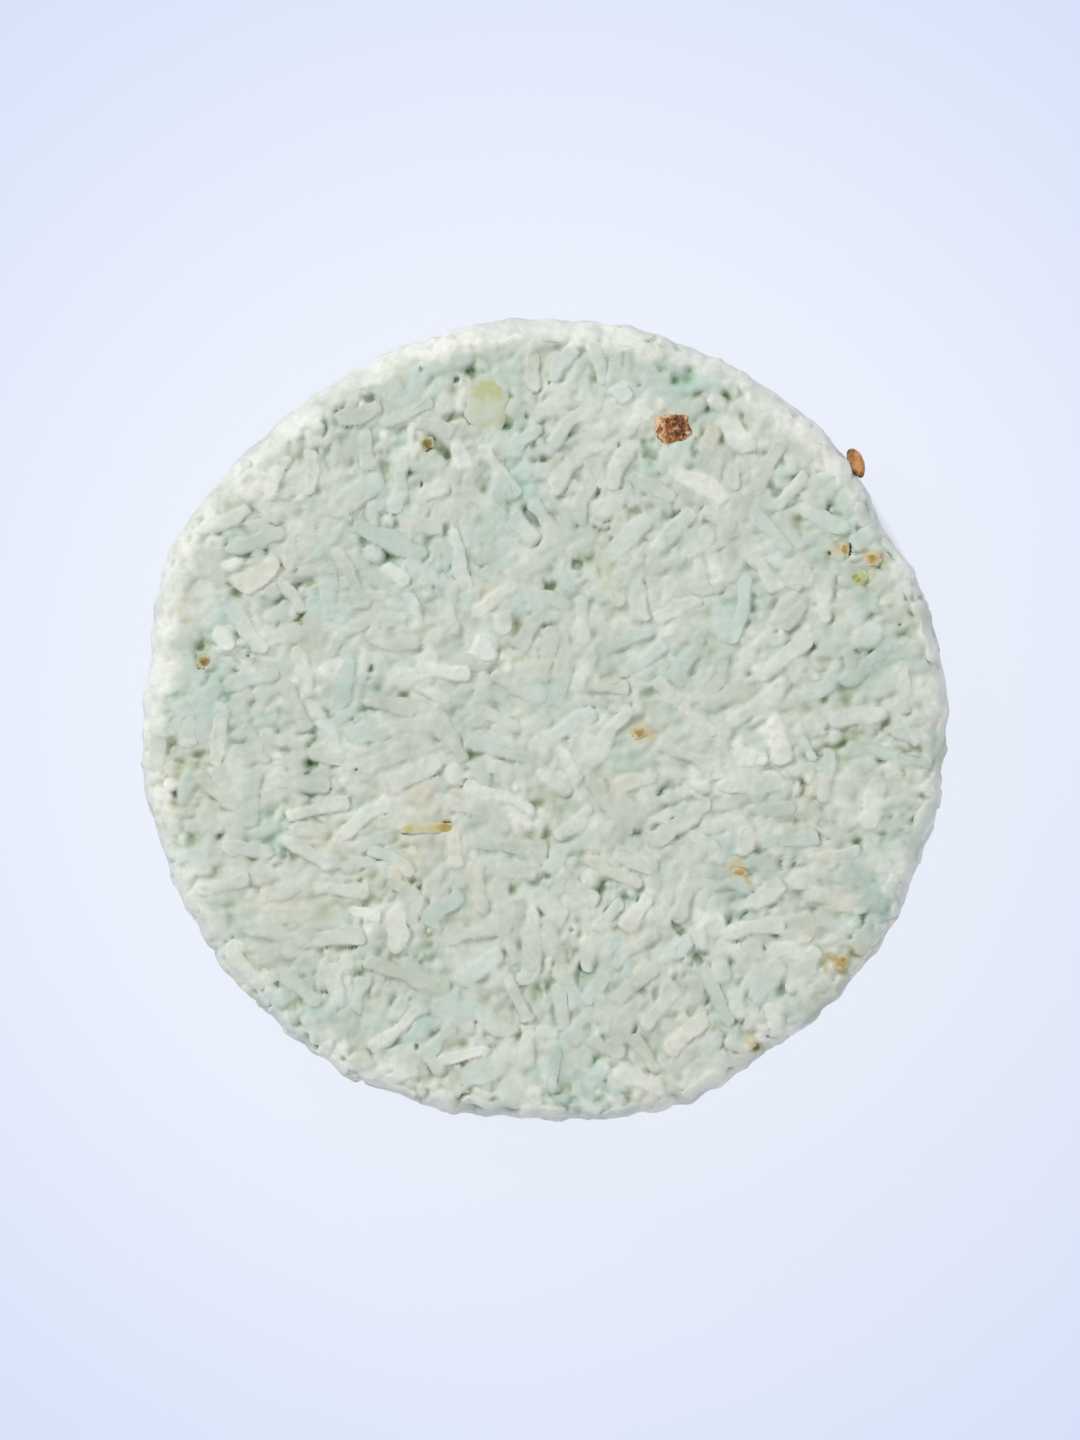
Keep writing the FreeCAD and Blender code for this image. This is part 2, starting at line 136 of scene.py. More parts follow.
# How far the press form has spread, how deep striking noodles are sunk below the surface
# and how far the tops of noodles slope.
PRESS_SPREAD = 0.2
LAP = 0.018
SLOPE_SPREAD = 0.035

# Tones of the rims and wall, and of the round white crumbs and the soap about them. The
# rims' whiteness is partly paler soap and partly a painted highlight, most on the smooth
# quarter toward the key light; the wall keeps only a share of it.
RIM_PALENESS_AND_HIGHLIGHT = 0.82
SMOOTH_RIM_PALENESS_AND_HIGHLIGHT = 0.7
WALL_SHARE_OF_RIM_PALENESS = 0.2
WALL_WARMTH = 0.35
RIM_TEAL_LOSS = 0.4
SMOOTH_RIM_TEAL_LOSS = 0.8
RAISED_WHITENESS = 1.1
HALO_WHITENESS = 0.9

# Bumps of the outline: bearing in degrees, height and half width in degrees. The sway is
# the height of the finer waves.
OUTLINE_BUMPS = (
    (30, -0.9, 7),
    (125, -0.28, 16),
    (155, 0.65, 8),
    (171, -0.45, 5),
    (215, 0.2, 9),
    (268, -0.35, 9),
    (290, 0.45, 5),
    (350, 0.22, 7),
)
OUTLINE_SWAY = 0.055

# Stains of the upper face: bearing in degrees, share of the radius, size, amount of teal
# and of warmth. Plant fragments stain the soap out to their length times STAIN_REACH.
STAINS = (
    (319, 0.24, 1.2, 0, 0.8),
    (163.4, 0.94, 0.9, 0, 0.8),
    (293.4, 0.56, 0.9, 0, 0.9),
    (275, 0.62, 1.0, 0, 0.8),
    (333.8, 0.78, 1.0, 0, 0.8),
    (320.4, 0.95, 0.9, 0, 1.6),
    (303.2, 0.96, 0.8, 0, 1.2),
    (205, 0.62, 1.8, 0, 0.5),
    (112, 0.33, 1.3, 0, 0.5),
    (215, 0.80, 2.0, 0, 0.5),
    (330, 0.93, 1.5, 0.8, 0),
    (67.4, 0.93, 2.6, 0.9, 0),
    (275, 0.91, 2.4, 0.9, 0),
    (176, 0.86, 3.0, 0.7, 0),
    (125, 0.45, 3.0, 0.5, 0),
    (95, 0.62, 3.0, 0.5, 0),
    (35, 0.90, 2.8, 0.7, 0),
    (230, 0.95, 2.6, 0.6, 0),
)
STAIN_REACH = 1.5

# Deep pits of the upper face: bearing in degrees, share of the radius, half length,
# half width and turn in degrees.
PITS = (
    (68.4, 0.725, 0.75, 0.38, 118),
    (60.4, 0.767, 0.45, 0.3, 20),
    (105.9, 0.79, 0.9, 0.26, 5),
    (96.9, 0.75, 0.5, 0.28, 25),
    (312, 0.89, 0.6, 0.34, 50),
    (11, 0.83, 0.5, 0.34, 80),
    (157, 0.82, 0.5, 0.3, 30),
    (122, 0.75, 0.5, 0.32, 20),
    (279, 0.62, 0.4, 0.3, 0),
    (86, 0.34, 0.45, 0.28, 60),
    (303, 0.71, 0.6, 0.26, 140),
    (101.7, 0.885, 0.55, 0.4, 10),
    (111, 0.73, 0.9, 0.3, 150),
    (94, 0.52, 1.1, 0.28, 140),
    (150, 0.70, 0.6, 0.45, 10),
    (190, 0.60, 0.4, 0.35, 70),
    (290, 0.50, 0.55, 0.3, 30),
    (340, 0.74, 0.3, 0.55, 5),
    (318, 0.78, 0.7, 0.3, 60),
    (290, 0.71, 0.5, 0.26, 120),
    (303, 0.62, 0.6, 0.25, 150),
    (78, 0.40, 0.4, 0.35, 60),
    (165, 0.83, 0.5, 0.3, 100),
)


# ---- the frame's measures


def node_points(name):
    """The vertices of a CAD node in millimetres."""
    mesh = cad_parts[name].data
    flat = np.empty(len(mesh.vertices) * 3, np.float32)
    mesh.vertices.foreach_get("co", flat)
    return flat.reshape(-1, 3).astype(float) / MM


def node_solids(name):
    """The separate solids of a CAD node, each as an array of its points."""
    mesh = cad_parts[name].data
    corners = np.empty(len(mesh.loops), np.int32)
    mesh.loops.foreach_get("vertex_index", corners)
    points, merged = np.unique(node_points(name).round(3), axis=0, return_inverse=True)
    triangles = merged.reshape(-1)[corners].reshape(-1, 3)
    labels = np.arange(len(points))
    while True:
        lowest = labels[triangles].min(axis=1)
        joined = labels.copy()
        np.minimum.at(joined, triangles.ravel(), np.repeat(lowest, 3))
        joined = joined[joined]
        if (joined == labels).all():
            break
        labels = joined
    order = sorted(set(labels.tolist()))
    return [points[labels == label] for label in order]


core_points = node_points("pressed_core")
THICKNESS = core_points[:, 2].max()
RADIUS = (core_points[:, 0].max() - core_points[:, 0].min()) / 2
on_top = core_points[:, 2] > THICKNESS - 1e-3
FLAT_RADIUS = np.hypot(core_points[on_top, 0], core_points[on_top, 1]).max()
EDGE = RADIUS - FLAT_RADIUS


# ---- shared shape functions


def smooth_min(one, other, blend):
    """The lesser of two heights, rounded where they cross."""
    share = np.clip(0.5 + 0.5 * (other - one) / blend, 0, 1)
    return other + (one - other) * share - blend * share * (1 - share)


def smooth_max(one, other, blend):
    """The greater of two heights, rounded where they cross."""
    return -smooth_min(-one, -other, blend)


def smooth_step(value, low, high):
    """A share that goes softly from 0 at low to 1 at high."""
    share = np.clip((value - low) / (high - low), 0, 1)
    return share * share * (3 - 2 * share)


class Ripple:
    """A seeded random field over space, near 0 on average and about 1 in spread."""

    def __init__(self, wavelength, chance, waves=18):
        directions = chance.normal(size=(waves, 3))
        directions /= np.linalg.norm(directions, axis=1)[:, None]
        lengths = wavelength * chance.uniform(0.7, 1.5, waves)
        self.turns = (directions * (2 * math.pi / lengths)[:, None]).T
        self.phases = chance.uniform(0, 2 * math.pi, waves)

    def __call__(self, points):
        waves = np.cos(points @ self.turns + self.phases)
        return waves.mean(axis=1) * math.sqrt(2 * len(self.phases))


def ripple(points, wavelength, chance, waves=18):
    """One seeded random field, taken at points."""
    return Ripple(wavelength, chance, waves)(points)


def press_field(points):
    """How far points lie outside the press form, and the way out of it."""
    away = np.hypot(points[:, 0], points[:, 1])
    outward = points[:, :2] / np.maximum(away, 1e-9)[:, None]
    middle = THICKNESS / 2
    over = np.stack([away - FLAT_RADIUS, np.abs(points[:, 2] - middle) - (middle - EDGE)], 1)
    beyond = np.maximum(over, 0)
    length = np.linalg.norm(beyond, axis=1)
    gap = length + np.minimum(over.max(axis=1), 0) - EDGE
    nearest_side = np.eye(2)[over.argmax(axis=1)]
    rounded = beyond / np.maximum(length, 1e-9)[:, None]
    way = np.where(length[:, None] > 1e-9, rounded, nearest_side)
    up = np.where(points[:, 2] >= middle, 1.0, -1.0)
    normals = np.column_stack([outward * way[:, :1], way[:, 1] * up])
    return gap, normals


def face_place(degrees, reach):
    """A place on a face, by its bearing and its share of the radius."""
    angle = math.radians(degrees)
    return RADIUS * reach * np.array([math.cos(angle), math.sin(angle)])


def on_rims_and_wall(points):
    """A share that is 0 on both faces and goes to 1 over the rounded rims."""
    away = np.hypot(points[:, 0], points[:, 1])
    return smooth_step(away, FLAT_RADIUS - 0.6, RADIUS - 0.6)


def rising(points):
    """A share that goes from 0 on most of the wall to 1 at the foot of the upper rim."""
    return smooth_step(points[:, 2], THICKNESS - 3 * EDGE, THICKNESS - EDGE)


def on_wall(points):
    """A share that is 1 on the wall and 0 on the faces and the upper rim."""
    return on_rims_and_wall(points) * (1 - rising(points))


def on_smooth_rim(points):
    """A share that is 1 about the quarter of the upper rim where the soap fused best, toward the
    key light, where the painted highlight is also strongest.
    """
    bearing = np.degrees(np.arctan2(points[:, 1], points[:, 0]))
    turn = np.abs((bearing - SMOOTH_RIM_BEARING + 180) % 360 - 180)
    near = 1 - smooth_step(turn, *SMOOTH_RIM_TURNS)
    return on_rims_and_wall(points) * near * rising(points)


outline_chance = np.random.default_rng(SEED + 1)
OUTLINE_WAVES = [
    (
        waves,
        outline_chance.normal() * OUTLINE_SWAY / waves**0.4,
        outline_chance.uniform(0, 2 * math.pi),
    )
    for waves in range(5, 85)
]


def warp(points):
    """Takes points off the true disc to the puck's uneven outline, none below its base."""
    away = np.hypot(points[:, 0], points[:, 1])
    bearing = np.arctan2(points[:, 1], points[:, 0])
    shift = np.full(len(points), PRESS_SPREAD)
    for degrees, height, width in OUTLINE_BUMPS:
        turn = np.degrees(bearing) - degrees
        turn = (turn + 180) % 360 - 180
        shift += height * np.exp(-((turn / width) ** 2))
    for waves, height, phase in OUTLINE_WAVES:
        sway = 0.8 * np.sin(points[:, 2] / THICKNESS * 4 + phase)
        shift += height * np.cos(waves * bearing + phase + sway)
    share = smooth_step(away, RADIUS * 0.72, RADIUS)
    moved = points.copy()
    moved[:, :2] *= (1 + shift * share / np.maximum(away, 1e-6))[:, None]
    moved[:, 2] = np.maximum(moved[:, 2], 0)
    return moved


# ---- meshes


def new_object(name, data):
    """An object in the scene that holds some data."""
    made = bpy.data.objects.new(name, data)
    bpy.context.scene.collection.objects.link(made)
    return made


def make_piece(name, points, faces, material, body="root", **attributes):
    """A smooth mesh piece that rides on a body. faces is a list of index arrays."""
    mesh = bpy.data.meshes.new(name)
    mesh.vertices.add(len(points))
    mesh.vertices.foreach_set("co", (warp(points) * MM).astype(np.float32).ravel())
    faces = [block for block in faces if len(block)]
    corners = np.concatenate([block.ravel() for block in faces])
    sizes = np.concatenate([np.full(len(block), block.shape[1]) for block in faces])
    mesh.loops.add(len(corners))
    mesh.loops.foreach_set("vertex_index", corners.astype(np.int32))
    mesh.polygons.add(len(sizes))
    starts = np.concatenate([[0], np.cumsum(sizes)[:-1]])
    mesh.polygons.foreach_set("loop_start", starts.astype(np.int32))
    mesh.polygons.foreach_set("use_smooth", np.ones(len(sizes), bool))
    for label, values in attributes.items():
        colours = np.ones((len(points), 4), np.float32)
        colours[:, : values.shape[1]] = values
        layer = mesh.attributes.new(label, "FLOAT_COLOR", "POINT")
        layer.data.foreach_set("color", colours.ravel())
    mesh.update(calc_edges=True)
    mesh.validate()
    mesh.materials.append(material)
    piece = new_object(name, mesh)
    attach(piece, body)
    return piece


def disc_grid(cells):
    """Points of a square grid drawn out to a unit disc, and the ring of its border."""
    steps = np.linspace(-1, 1, cells + 1)
    across, along = np.meshgrid(steps, steps, indexing="ij")
    wide = np.abs(across) > np.abs(along)
    safe_across = np.where(across == 0, 1, across)
    safe_along = np.where(along == 0, 1, along)
    reach = np.where(wide, across, along)
    quarter = math.pi / 4
    steep = math.pi / 2 - quarter * across / safe_along
    turn = np.where(wide, quarter * along / safe_across, steep)
    points = np.stack([reach * np.cos(turn), reach * np.sin(turn)], axis=-1).reshape(-1, 2)
    index = np.arange((cells + 1) ** 2).reshape(cells + 1, cells + 1)
    corners = [index[:-1, :-1], index[1:, :-1], index[1:, 1:], index[:-1, 1:]]
    sides = [index[:-1, 0], index[-1, :-1], index[:0:-1, -1], index[0, :0:-1]]
    return points, np.stack(corners, axis=-1).reshape(-1, 4), np.concatenate(sides)


def ring_quads(upper, lower):
    """Quads between two rings of the same count, wound to face outwards."""
    return np.stack([upper, lower, np.roll(lower, -1), np.roll(upper, -1)], axis=1)


def halving_faces(fine, coarse):
    """Triangles between a ring and one of half its count below it."""
    evens = fine[0::2]
    odds = fine[1::2]
    next_evens = np.roll(evens, -1)
    next_coarse = np.roll(coarse, -1)
    thirds = [
        (coarse, odds, evens),
        (coarse, next_coarse, odds),
        (next_coarse, next_evens, odds),
    ]
    return np.concatenate([np.stack(third, axis=1) for third in thirds])


def press_form_mesh():
    """The closed skin of the press form: fine above and on the wall, coarser below."""
    disc, quads, border = disc_grid(TOP_CELLS)
    blocks = [np.column_stack([disc * FLAT_RADIUS, np.full(len(disc), THICKNESS)])]
    faces = [quads]
    bearings = np.arctan2(disc[border, 1], disc[border, 0])
    coarse_bearings = bearings[0::2]
    ring = border
    start = len(disc)

    def add_ring(away, height, angles, join=ring_quads):
        """One more ring, joined to the ring above it."""
        nonlocal start, ring
        points = np.column_stack(
            [away * np.cos(angles), away * np.sin(angles), np.full(len(angles), height)]
        )
        below = np.arange(start, start + len(points))
        blocks.append(points)
        faces.append(join(ring, below))
        start += len(points)
        ring = below

    quarter = math.pi / 2
    rim_rings = int(EDGE * quarter / RIM_STEP)
    wall_rings = int((THICKNESS - 2 * EDGE) / WALL_STEP)
    for slope in np.linspace(quarter, 0, rim_rings + 1)[1:]:
        height = THICKNESS - EDGE + EDGE * math.sin(slope)
        add_ring(FLAT_RADIUS + EDGE * math.cos(slope), height, bearings)
    for height in np.linspace(THICKNESS - EDGE, EDGE, wall_rings + 1)[1:-1]:
        add_ring(RADIUS, height, bearings)
    add_ring(RADIUS, EDGE, coarse_bearings, halving_faces)
    for slope in np.linspace(0, quarter, rim_rings // 2 + 1)[1:-1]:
        height = EDGE - EDGE * math.sin(slope)
        add_ring(FLAT_RADIUS + EDGE * math.cos(slope), height, coarse_bearings)
    disc, quads, border = disc_grid(TOP_CELLS // 2)
    blocks.append(np.column_stack([disc * FLAT_RADIUS, np.zeros(len(disc))]))
    faces.append(quads[:, ::-1] + start)
    faces.append(ring_quads(ring, border + start))
    return np.concatenate(blocks), faces


# ---- noodles

bend_chance = np.random.default_rng(SEED + 5)
BENDS = [
    (0.13, [Ripple(3.4, bend_chance) for _ in range(3)]),
    (0.045, [Ripple(1.1, bend_chance) for _ in range(3)]),
]
NOODLE_MOTTLE = Ripple(1.5, bend_chance)
STAIN_EDGE = Ripple(1.4, bend_chance)
LUMP_EDGE = Ripple(1.8, bend_chance)
SETTLING = [(0.03, Ripple(7.0, bend_chance)), (0.02, Ripple(0.9, bend_chance))]
TEAL_DRIFT = Ripple(6.0, bend_chance)
WARM_DRIFT = Ripple(4.5, bend_chance)


def bends(points):
    """The small push that bends and dents the noodles about a point."""
    return sum(size * np.column_stack([wave(points) for wave in waves]) for size, waves in BENDS)


def settled(points):
    """How unevenly the pressed surface has sprung back, in millimetres."""
    return sum(size * wave(points) for size, wave in SETTLING)


def pressed(points, lift, blend):
    """Points pressed softly to a surface lift above the press form, that springs back."""
    gap, normals = press_field(points)
    points = points - normals * (gap - smooth_min(gap, lift, blend))[:, None]
    _, normals = press_field(points)
    return points + normals * settled(points)[:, None]


class Rod:
    """A noodle: a straight squarish rod with blunt ends, before it is bent and pressed."""

    def __init__(self, centre, axis, length, radius, normal, bluntness, tone, lift, slope):
        self.centre = centre
        self.axis = axis
        self.radius = radius
        self.blunt = bluntness * radius
        self.half = max(length / 2 - self.blunt, 0.02)
        self.normal = normal
        self.tone = tone
        self.lift = lift
        self.slope = slope - normal * (slope @ normal)

    def level(self, points):
        """How high the pressed noodle has been left at some points."""
        return self.lift + (points - self.centre) @ self.slope

    def reach(self):
        """How far the noodle goes from its centre along x, y and z."""
        return np.abs(self.axis) * (self.half + self.blunt) + self.radius

    def share(self, along, across):
        """0 on the axis, 1 at the edge of the noodle as seen from above."""
        over = np.maximum(np.abs(along) - self.half, 0) / self.blunt
        power = (across / self.radius) ** SECTION_POWER + over**SECTION_POWER
        return power ** (1 / SECTION_POWER)

    def top(self, share):
        """How far the noodle stands above its axis, falling away beyond its edge."""
        inside = np.maximum(1 - share**SECTION_POWER, 0) ** (1 / SECTION_POWER)
        return self.radius * (inside - EDGE_FALL * np.maximum(share - 1, 0))

    def mesh(self, rings=24, spokes=18):
        """The noodle's closed skin, bent and pressed."""
        side = np.cross(self.normal, self.axis)
        side /= np.linalg.norm(side)
        up = np.cross(self.axis, side)
        tip = self.half + self.blunt
        station = -np.cos(np.linspace(0, math.pi, rings + 1)[1:-1]) * tip
        over = np.maximum(np.abs(station) - self.half, 0) / self.blunt
        section = self.radius * (1 - over**SECTION_POWER) ** (1 / SECTION_POWER)
        angles = np.linspace(0, 2 * math.pi, spokes, endpoint=False)
        wide = signed_power(np.cos(angles), 2 / SECTION_POWER)
        tall = signed_power(np.sin(angles), 2 / SECTION_POWER)
        points = (
            self.centre
            + station[:, None, None] * self.axis
            + (section[:, None] * wide)[..., None] * side
            + (section[:, None] * tall)[..., None] * up
        ).reshape(-1, 3)
        ends = [self.centre - self.axis * tip, self.centre + self.axis * tip]
        points = np.concatenate([points, ends])
        bent = points - bends(points)
        points = points - bends(bent)
        quads, caps = ringed_faces(rings - 1, spokes)
        return pressed(points, self.level(points) - LAP, PRESS_ROUNDING), quads, caps


def signed_power(value, power):
    """The power of a value's size, with the sign of the value."""
    return np.sign(value) * np.abs(value) ** power


def ringed_faces(rings, spokes):
    """Faces of a skin made of rings, closed by one point at either end."""
    index = np.arange(rings * spokes).reshape(rings, spokes)
    around = np.roll(index, -1, axis=1)
    quads = np.stack([index[:-1], around[:-1], around[1:], index[1:]], axis=-1).reshape(-1, 4)
    first = np.full(spokes, rings * spokes)
    front = np.stack([first, around[0], index[0]], axis=1)
    back = np.stack([first + 1, index[-1], around[-1]], axis=1)
    return quads, np.concatenate([front, back])


def random_tone(chance, white):
    """Whiteness, teal and warmth of one noodle."""
    whiteness = chance.normal(white, WHITE_SPREAD)
    is_teal = chance.random() < TEAL_NOODLES
    teal = chance.uniform(0.25, 0.8) if is_teal else chance.uniform(0, 0.2)
    warmth = chance.uniform(0.2, 0.7) if chance.random() < WARM_NOODLES else 0
    return np.array([whiteness, teal, warmth])


def measured_rod(points, chance, white, lift):
    """The noodle that fills a CAD solid, from the points of that solid."""
    middle = points.mean(axis=0)
    _, _, axes = np.linalg.svd(points - middle, full_matrices=False)
    axis = axes[0]
    _, normals = press_field(middle[None])
    normal = normals[0]
    side = np.cross(normal, axis)
    side /= np.linalg.norm(side)
    along = (points - middle) @ axis
    across = (points - middle) @ side
    deep = (points - middle) @ normal
    radius = (across.max() - across.min()) / 2
    length = along.max() - along.min()
    middle = middle + axis * (along.max() + along.min()) / 2
    middle = middle + side * (across.max() + across.min()) / 2
    middle = middle + normal * (deep.min() + radius)
    bluntness = min(chance.uniform(*END_BLUNTNESS), LONGEST_END * length / radius)
    tone = random_tone(chance, white)
    slope = chance.normal(0, SLOPE_SPREAD, 3)
    return Rod(middle, axis, length, radius, normal, bluntness, tone, lift, slope)


def surface_places(count, chance):
    """Random places on the press form, even by area, with the way out and two tangents."""
    arc = np.sin(np.linspace(0, math.pi / 2, RIM_SAMPLES))
    fall = 1 - np.cos(np.linspace(0, math.pi / 2, RIM_SAMPLES))
    flat = np.linspace(0, FLAT_RADIUS, FACE_SAMPLES)
    wall = np.linspace(THICKNESS - EDGE, EDGE, WALL_SAMPLES)
    away = [flat, FLAT_RADIUS + EDGE * arc, np.full(WALL_SAMPLES, RADIUS)]
    away += [RADIUS - EDGE * fall, flat[::-1]]
    height = [np.full(FACE_SAMPLES, THICKNESS), THICKNESS - EDGE * fall, wall]
    height += [EDGE - EDGE * arc, np.zeros(FACE_SAMPLES)]
    away = np.concatenate(away)
    height = np.concatenate(height)
    weight = away * np.hypot(np.gradient(away), np.gradient(height))
    pick = chance.choice(len(away), size=count, p=weight / weight.sum())
    bearing = chance.uniform(0, 2 * math.pi, count)
    places = np.column_stack(
        [away[pick] * np.cos(bearing), away[pick] * np.sin(bearing), height[pick]]
    )
    _, normals = press_field(places)
    tangents = np.column_stack([-np.sin(bearing), np.cos(bearing), np.zeros(count)])
    return places, normals, tangents, np.cross(normals, tangents)


def random_rods(count, lengths, radii, crowns, tilt, chance):
    """Noodles at random places, their crowns standing so far over the press surface."""
    places, normals, tangents, overs = surface_places(count, chance)
    for place, normal, tangent, over in zip(places, normals, tangents, overs):
        turn = chance.uniform(0, math.pi)
        lean = chance.normal(0, tilt)
        level = tangent * math.cos(turn) + over * math.sin(turn)
        axis = level * math.cos(lean) + normal * math.sin(lean)
        radius = chance.uniform(*radii)
        length = max(chance.uniform(*lengths), 2 * radius)
        centre = place + normal * (chance.uniform(*crowns) - radius)
        bluntness = min(chance.uniform(*END_BLUNTNESS), LONGEST_END * length / radius)
        tone = random_tone(chance, FUSED_WHITE)
        lift = chance.uniform(*FUSED_LIFTS)
        slope = chance.normal(0, SLOPE_SPREAD, 3)
        yield Rod(centre, axis, length, radius, normal, bluntness, tone, lift, slope)


class Skin:
    """The press form's vertices, binned so that those near a noodle are found fast.

    A noodle covers vertices out to MARGIN of its share and DEPTH above or below it.
    """

    CELL = 2.0
    MARGIN = 1.6
    DEPTH = 2.5

    def __init__(self, points):
        self.points = points
        self.ragged = LUMP_RAGGEDNESS * LUMP_EDGE(points)
        self.bent = points + bends(points)
        _, self.normals = press_field(points)
        keys = np.floor(self.bent / self.CELL).astype(int)
        self.low = keys.min(axis=0)
        self.shape = keys.max(axis=0) - self.low + 1
        flat = np.ravel_multi_index((keys - self.low).T, self.shape)
        self.order = np.argsort(flat, kind="stable")
        cells = np.arange(np.prod(self.shape) + 1)
        self.starts = np.searchsorted(flat[self.order], cells)

    def under(self, rod):
        """The vertices a noodle covers: their indices, its share there and its height."""
        reach = rod.reach() * 1.3
        low = np.floor((rod.centre - reach) / self.CELL).astype(int) - self.low
        high = np.floor((rod.centre + reach) / self.CELL).astype(int) - self.low
        low = np.maximum(low, 0)
        high = np.minimum(high, self.shape - 1)
        found = [np.empty(0, int)]
        for i in range(low[0], high[0] + 1):
            for j in range(low[1], high[1] + 1):
                row = (i * self.shape[1] + j) * self.shape[2]
                first = self.starts[row + low[2]]
                last = self.starts[row + high[2] + 1]
                found.append(self.order[first:last])
        near = np.concatenate(found)
        toward = rod.centre - self.bent[near]
        normals = self.normals[near]
        along = toward @ rod.axis
        rest = toward - along[:, None] * rod.axis
        up = np.einsum("ij,ij->i", rest, normals)
        across = np.sqrt(np.maximum(np.einsum("ij,ij->i", rest, rest) - up**2, 0))
        share = rod.share(along, across)
        if rod.radius > LUMP_RADIUS:
            share = share * (1 + self.ragged[near])
        kept = (share < self.MARGIN) & (np.abs(up) < self.DEPTH)
        return near[kept], share[kept], up[kept] + rod.top(share[kept])


# ---- the core


def make_core(material, stand_outs, sockets):
    """The fused mass: thousands of noodles pressed to one skin, with its pits and sockets."""
    chance = np.random.default_rng(SEED)
    points, faces = press_form_mesh()
    skin = Skin(points)
    area = 2 * math.pi * RADIUS * (RADIUS + THICKNESS)
    on_rim = on_rims_and_wall(points)

    # how well the soap has fused: best about the smooth quarter of the rim, then in the
    # middle of the faces
    smooth_rim = on_smooth_rim(points)
    away = np.hypot(points[:, 0], points[:, 1])
    inner = 1 - smooth_step(away, 0.15 * RADIUS, 0.75 * RADIUS)
    knead = ripple(points, 6.5, chance) + 0.7 * ripple(points, 2.0, chance)
    fused = smooth_step(knead + 1.8 * smooth_rim + 0.9 * inner - 0.7 * on_rim - 0.2, -1.4, 1.0)
    blend = LOOSE_BLEND + (FUSED_BLEND - LOOSE_BLEND) * fused**1.5
    blend = blend + SMOOTH_RIM_BLEND * smooth_rim
    tone_blend = TONE_BLEND + (FUSED_TONE_BLEND - TONE_BLEND) * fused
    heaped, lifts, own, sink, raised, halo = np.zeros((6, len(points)))
    sharp_weights, weights = np.full((2, len(points)), TRACE)
    tones = np.tile(BARE_TONE, (len(points), 1)) * TRACE
    claimed, reserved = np.zeros((2, len(points)), bool)

    def lay(near, height, rod):
        """Adds a noodle to the heap, and says how surely it is the one seen there."""
        heaped[near] += np.exp(np.clip(height / blend[near], -60, 60))
        weight = np.exp(np.clip(height / tone_blend[near], -20, 20))
        weights[near] += weight
        tones[near] += weight[:, None] * rod.tone
        lifts[near] += weight * rod.level(points[near])
        sharp_weight = np.exp(np.clip(height / TONE_BLEND, -20, 20))
        sharp_weights[near] += sharp_weight
        return sharp_weight

    for rod in stand_outs:
        near, share, height = skin.under(rod)
        own[near] += lay(near, height, rod)
        lip = LIP_DEPTH * (1 - smooth_step(share, 0.6, 0.92))
        well = WELL_DEPTH * (1 - smooth_step(share, 0.12, 0.45))
        sink[near] = np.maximum(sink[near], lip + well)
        if rod.tone[0] > RAISED_WHITENESS:
            raised[near] = np.maximum(raised[near], share < 1.2)
            halo[near] = np.maximum(halo[near], 1 - smooth_step(share, 1.05, 1.4))
        claimed[near[share < 0.92]] = True
        reserved[near[share < 0.82]] = True
    for rod, _ in sockets:
        near, share, _ = skin.under(rod)
        claimed[near[share < 0.9]] = True
        reserved[near[share < 0.75]] = True
    for amount, lengths, radii, allowed, crowns in SOWING:
        for rod in random_rods(int(amount * area), lengths, radii, crowns, SOWN_LEAN, chance):
            near, share, height = skin.under(rod)
            body = near[share < 0.86]
            if not len(body):
                continue
            if claimed[body].mean() > allowed or reserved[body].mean() > RESERVED_SHARE:
                continue
            lay(near, height, rod)
            claimed[near[share < 0.92]] = True
    for amount, lengths, radii, crowns in LAYERS_BELOW:
        for rod in random_rods(int(amount * area), lengths, radii, crowns, BELOW_LEAN, chance):
            near, share, height = skin.under(rod)
            lay(near, height, rod)

    # deep pits of the upper face, as ragged as the noodles about them
    ragged = ripple(points, 1.0, chance, 16)
    dip = np.zeros(len(points))
    for degrees, reach, half_length, half_width, turn in PITS:
        offset = points[:, :2] - face_place(degrees, reach)
        heading = math.radians(turn)
        along = offset @ [math.cos(heading), math.sin(heading)]
        over = offset @ [-math.sin(heading), math.cos(heading)]
        spread = (along / half_length) ** 2 + (over / half_width) ** 2
        spread = spread * (1 + 0.3 * ragged) + 0.3 * ragged
        here = (1 - smooth_step(spread, 0.2, 2.2)) * (points[:, 2] > THICKNESS - 0.5)
        dip = np.maximum(dip, here)

    # the heap of noodles, with ragged gaps, over the soap that fills them, all pressed
    heap = np.where(heaped > 0, blend * np.log(np.maximum(heaped, 1e-26)), -2.0)
    in_gap = smooth_step(-heap, -0.03, 0.2) * smooth_step(ragged - 0.4 * fused, -0.2, 1.0)
    heap = np.maximum(heap - GAP_DEPTH * in_gap, -DEEPEST_GAP) - PIT_DEPTH * dip
    floor = -FILL_DEPTH - FILL_SPREAD * ripple(points, 1.3, chance)
    floor = np.minimum(floor, -SHALLOWEST_FILL) * (1 - 0.5 * fused) - PIT_FLOOR_DEPTH * dip
    height = smooth_max(heap, floor, 0.12)
    height = smooth_min(height, lifts / weights, PRESS_ROUNDING)

    # a socket under each fragment
    for rod, grip in sockets:
        near, share, _ = skin.under(rod)
        beyond = (np.maximum(share, 1) - 1) * rod.radius
        rim = grip * np.exp(-((beyond / SOCKET_REACH) ** 2))
        edge = share + 0.16 * ragged[near]
        ledge = SOCKET_LEDGE * (1 - smooth_step(edge, 0.5, 0.92))
        well = SOCKET_WELL * (1 - smooth_step(edge, 0.15, 0.55))
        height[near] = np.minimum(height[near], -rim * (share > 0.8) - (ledge + well))

